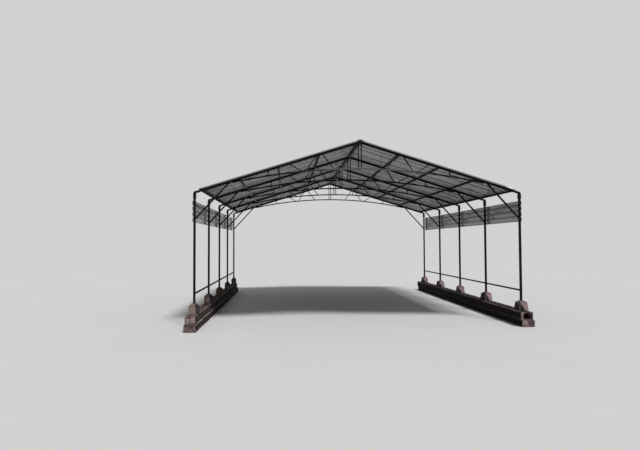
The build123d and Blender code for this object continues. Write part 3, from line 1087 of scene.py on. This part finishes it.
class Screws:
    """Hexagon-headed screws on domed washers, joined in one mesh."""

    def __init__(self):
        self.points, self.faces = [], []

    def turned(self, place, axis, profile, count, turn=0.0):
        """Add a small turned solid along the axis from the place."""
        rotation = Vector((0, 0, 1)).rotation_difference(Vector(axis)).to_matrix()
        self.faces += capped_faces(len(profile), count, len(self.points))
        for height, radius in profile:
            for i in range(count):
                angle = 2 * math.pi * i / count + turn
                local = Vector((radius * math.cos(angle), radius * math.sin(angle), height))
                self.points.append(tuple(Vector(place) + rotation @ local))

    def add(self, place, axis, size, turn):
        self.turned(place, axis, [(h * size, r * size) for h, r in WASHER], WASHER_POINTS)
        self.turned(place, axis, [(h * size, r * size) for h, r in SCREW_HEAD], 6, turn)

    def make(self, name, material, slot):
        make_piece(name, self.points, self.faces, material, slot, smooth=False)


def roof_screws(side_name, side):
    """Screws in every third pan over each purlin line."""
    screws = Screws()
    up = (side * math.sin(SLOPE), 0, math.cos(SLOPE))
    for line in PURLIN_LINES:
        for index in range(1, ROOF_RIBS - 1, SCREWED_PANS):
            y = index * ROOF_PITCH + RIB_FOOT + ROOF_PAN / 2 - ROOF_LENGTH / 2
            distance = line / math.cos(SLOPE) + SCREW_DRIFT * rough(index * 1.9, line, side, 1)
            screws.add(on_slope(side, distance, HALF_TUBE + SCREW_SEAT, y), up, 1.0, index * 0.7)
    screws.make(f"roof_screws_{side_name}", ZINC, "roof_sheet")


def band_screws(side_name, side):
    """Screws through the narrow recesses of the band into each post."""
    screws = Screws()
    pitch = RIB_TOP + PAN_WIDTH + 2 * RIB_SIDE
    for row in FRAME_ROWS:
        shift = -math.copysign(END_SCREW_SHIFT, row) if row in (FRAME_ROWS[0], FRAME_ROWS[-1]) else 0.0
        for index in range(BAND_PANS - 1):
            z = BAND_BOTTOM + (index + 1) * pitch - RIB_TOP / 2
            place = (side * (HALF_SPACING + HALF_TUBE + SCREW_SEAT), row + shift, z)
            screws.add(place, (side, 0, 0), BAND_SCREW_SIZE, index + row)
    screws.make(f"band_screws_{side_name}", ZINC, "roof_sheet")


def inner_bolts(side_name, side):
    """A bolt in the bay side of each post foot, with its washer."""
    bolts = Screws()
    z = WALL_TOP + CROWN_HEIGHTS[side_name] + INNER_BOLT_RISE
    for row in FRAME_ROWS:
        bolts.add((side * (HALF_SPACING - HALF_TUBE), row, z), (-side, 0, 0), INNER_BOLT_SIZE, row)
    bolts.make(f"inner_foot_bolts_{side_name}", STEEL, "black_tube")


def front_bolts(name, side_name, rows, material, size):
    """A bolt in the front of some post feet, with its washer."""
    bolts = Screws()
    z = WALL_TOP + CROWN_HEIGHTS[side_name] + FRONT_BOLT_RISE
    for row in rows:
        bolts.add((SIDES[side_name] * HALF_SPACING, row - HALF_TUBE, z), (0, -1, 0), size, row)
    bolts.make(name, material, "black_tube")


for side_name, side in SIDES.items():
    roof_screws(side_name, side)
    band_screws(side_name, side)
    inner_bolts(side_name, side)
    rows = FRAME_ROWS if side < 0 else FRAME_ROWS[1:]
    front_bolts(f"front_foot_bolts_{side_name}", side_name, rows, STEEL, FRONT_BOLT_SIZE)
front_bolts("bare_foot_bolt", "right", FRAME_ROWS[:1], STAINED_ZINC, BARE_BOLT_SIZE)


# Weld beads

WELD_RADIUS = 0.0016
WELD_STEPS = 7
WELD_SIDES = 6
WELD_END_GAP = 0.004
WELD_TOP_GAP = 0.003


def bead(points, faces, a, b, seed):
    """Add a lumpy weld bead from a to b."""
    along = (Vector(b) - Vector(a)).normalized()
    rotation = Vector((0, 0, 1)).rotation_difference(along).to_matrix()
    faces += capped_faces(WELD_STEPS + 1, WELD_SIDES, len(points))
    for i in range(WELD_STEPS + 1):
        place = Vector(a).lerp(Vector(b), i / WELD_STEPS)
        size = WELD_RADIUS * (1 + 0.3 * rough(i * 1.3, seed, 0.2, 1)) * (0.4 if i in (0, WELD_STEPS) else 1)
        for k in range(WELD_SIDES):
            angle = 2 * math.pi * k / WELD_SIDES
            local = Vector((size * math.cos(angle), size * math.sin(angle), 0))
            points.append(tuple(place + rotation @ local))


def frame_welds():
    """Beads at the mitred corners and at the ridge of every frame."""
    points, faces = [], []
    half = HALF_TUBE
    lean = math.tan((math.pi / 2 - SLOPE) / 2)
    rise = half / math.cos(SLOPE)
    for row in FRAME_ROWS:
        for side in SIDES.values():
            inner_x, inner_z = side * (HALF_SPACING - half), CORNER_Z - half * lean
            outer_x = side * (HALF_SPACING + half - WELD_END_GAP)
            outer_z = CORNER_Z + half * lean - WELD_TOP_GAP
            for y in (row - half, row + half):
                bead(points, faces, (inner_x, y, inner_z), (outer_x, y, outer_z), row + side)
            y = row + side * half
            bead(points, faces, (0, y, APEX_Z - rise), (0, y, APEX_Z + rise - WELD_TOP_GAP), row)
    make_piece("corner_welds", points, faces, STEEL, "black_tube")


frame_welds()


# Finishes of the carried-over nodes

OTHER_FINISHES = {
    "ridge_cap": TRIM,
    "ridge_purlin": RIDGE_STEEL,
    "purlins_left": PURLIN_STEEL,
    "truss_1": CHORD_STEEL,
    "low_rail_left": RAIL_STEEL,
}

for node_name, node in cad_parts.items():
    node.data.materials.clear()
    node.data.materials.append(OTHER_FINISHES.get(node_name, STEEL))


# Floor, light and camera

FLOOR_SIZE = 160.0
FLOOR_STEPS = 32
FADE_START = 8.0
FADE_END = 30.0
SKY_LIGHT = 0.32
KEY_LIGHT = 3.1
KEY_WIDTH = math.radians(12)
KEY_TRAVEL = (-0.30, 0.62, -1.0)
CAMERA_PLACE = (-1.208, -11.478, 1.389)
CAMERA_DEGREES = (3.634, 1.978, -0.269)
SENSOR_WIDTH = 36
IMAGE_WIDTH = 640
FOCAL_PIXELS = 511.46


def floor():
    """A wide pale floor that fades into the backdrop far from the object. It is a little darker
    to the camera than in the light that it throws back."""
    look = Finish("pale_floor")
    seen = look.ray("Camera")
    look.colour = look.blend(seen, LIT_FLOOR, look.blend(look.noise(0.6, 3), *SHOWN_FLOOR))
    look.surface(0.9, 0.1)
    distance = look.value("VectorMath", {0: look.place}, "Value", "LENGTH")
    fade = seen * distance.span(FADE_START, FADE_END)
    glow = look.value("Emission", {"Color": BACKDROP})
    look.put(look.output.inputs["Surface"], look.value("MixShader", {0: fade, 1: look.shaded, 2: glow}))

    steps = [FLOOR_SIZE * (i / FLOOR_STEPS - 0.5) for i in range(FLOOR_STEPS + 1)]
    points = [(x, y, 0.0) for y in steps for x in steps]
    faces = grid_faces(FLOOR_STEPS + 1, FLOOR_STEPS + 1)
    stand = make_object("floor", make_mesh("floor", points, faces, look.material))


def surroundings():
    """Even light from the world, which the camera and reflections see as a pale backdrop."""
    world = bpy.data.worlds.new("studio")
    bpy.context.scene.world = world
    nodes = Nodes(world)
    seen = nodes.ray("Camera").larger(nodes.ray("Glossy")).larger(nodes.ray("Transmission"))
    light = nodes.value("Background", {"Color": WHITE, "Strength": SKY_LIGHT})
    shown = nodes.value("Background", {"Color": BACKDROP})
    nodes.add("OutputWorld", {"Surface": nodes.value("MixShader", {0: seen, 1: light, 2: shown})})


def key_light():
    """A broad soft light from the front right."""
    lamp = bpy.data.lights.new("key", "SUN")
    lamp.energy = KEY_LIGHT
    lamp.angle = KEY_WIDTH
    key = make_object("key", lamp)
    key.rotation_mode = "QUATERNION"
    key.rotation_quaternion = Vector(KEY_TRAVEL).to_track_quat("-Z", "Y")


def camera():
    """The photograph's camera, solved from the frames."""
    yaw, pitch, roll = map(math.radians, CAMERA_DEGREES)
    ahead = Vector((math.sin(yaw) * math.cos(pitch), math.cos(yaw) * math.cos(pitch), math.sin(pitch)))
    right = Vector((math.cos(yaw), -math.sin(yaw), 0))
    up = right.cross(ahead)
    right, up = right * math.cos(roll) + up * math.sin(roll), -right * math.sin(roll) + up * math.cos(roll)
    lens = bpy.data.cameras.new("camera")
    lens.sensor_width = SENSOR_WIDTH
    lens.lens = SENSOR_WIDTH * FOCAL_PIXELS / IMAGE_WIDTH
    eye = make_object("camera", lens)
    eye.matrix_world = Matrix.Translation(CAMERA_PLACE) @ Matrix((right, up, -ahead)).transposed().to_4x4()
    bpy.context.scene.camera = eye


floor()
surroundings()
key_light()
camera()
bpy.context.scene.view_settings.view_transform = "Standard"
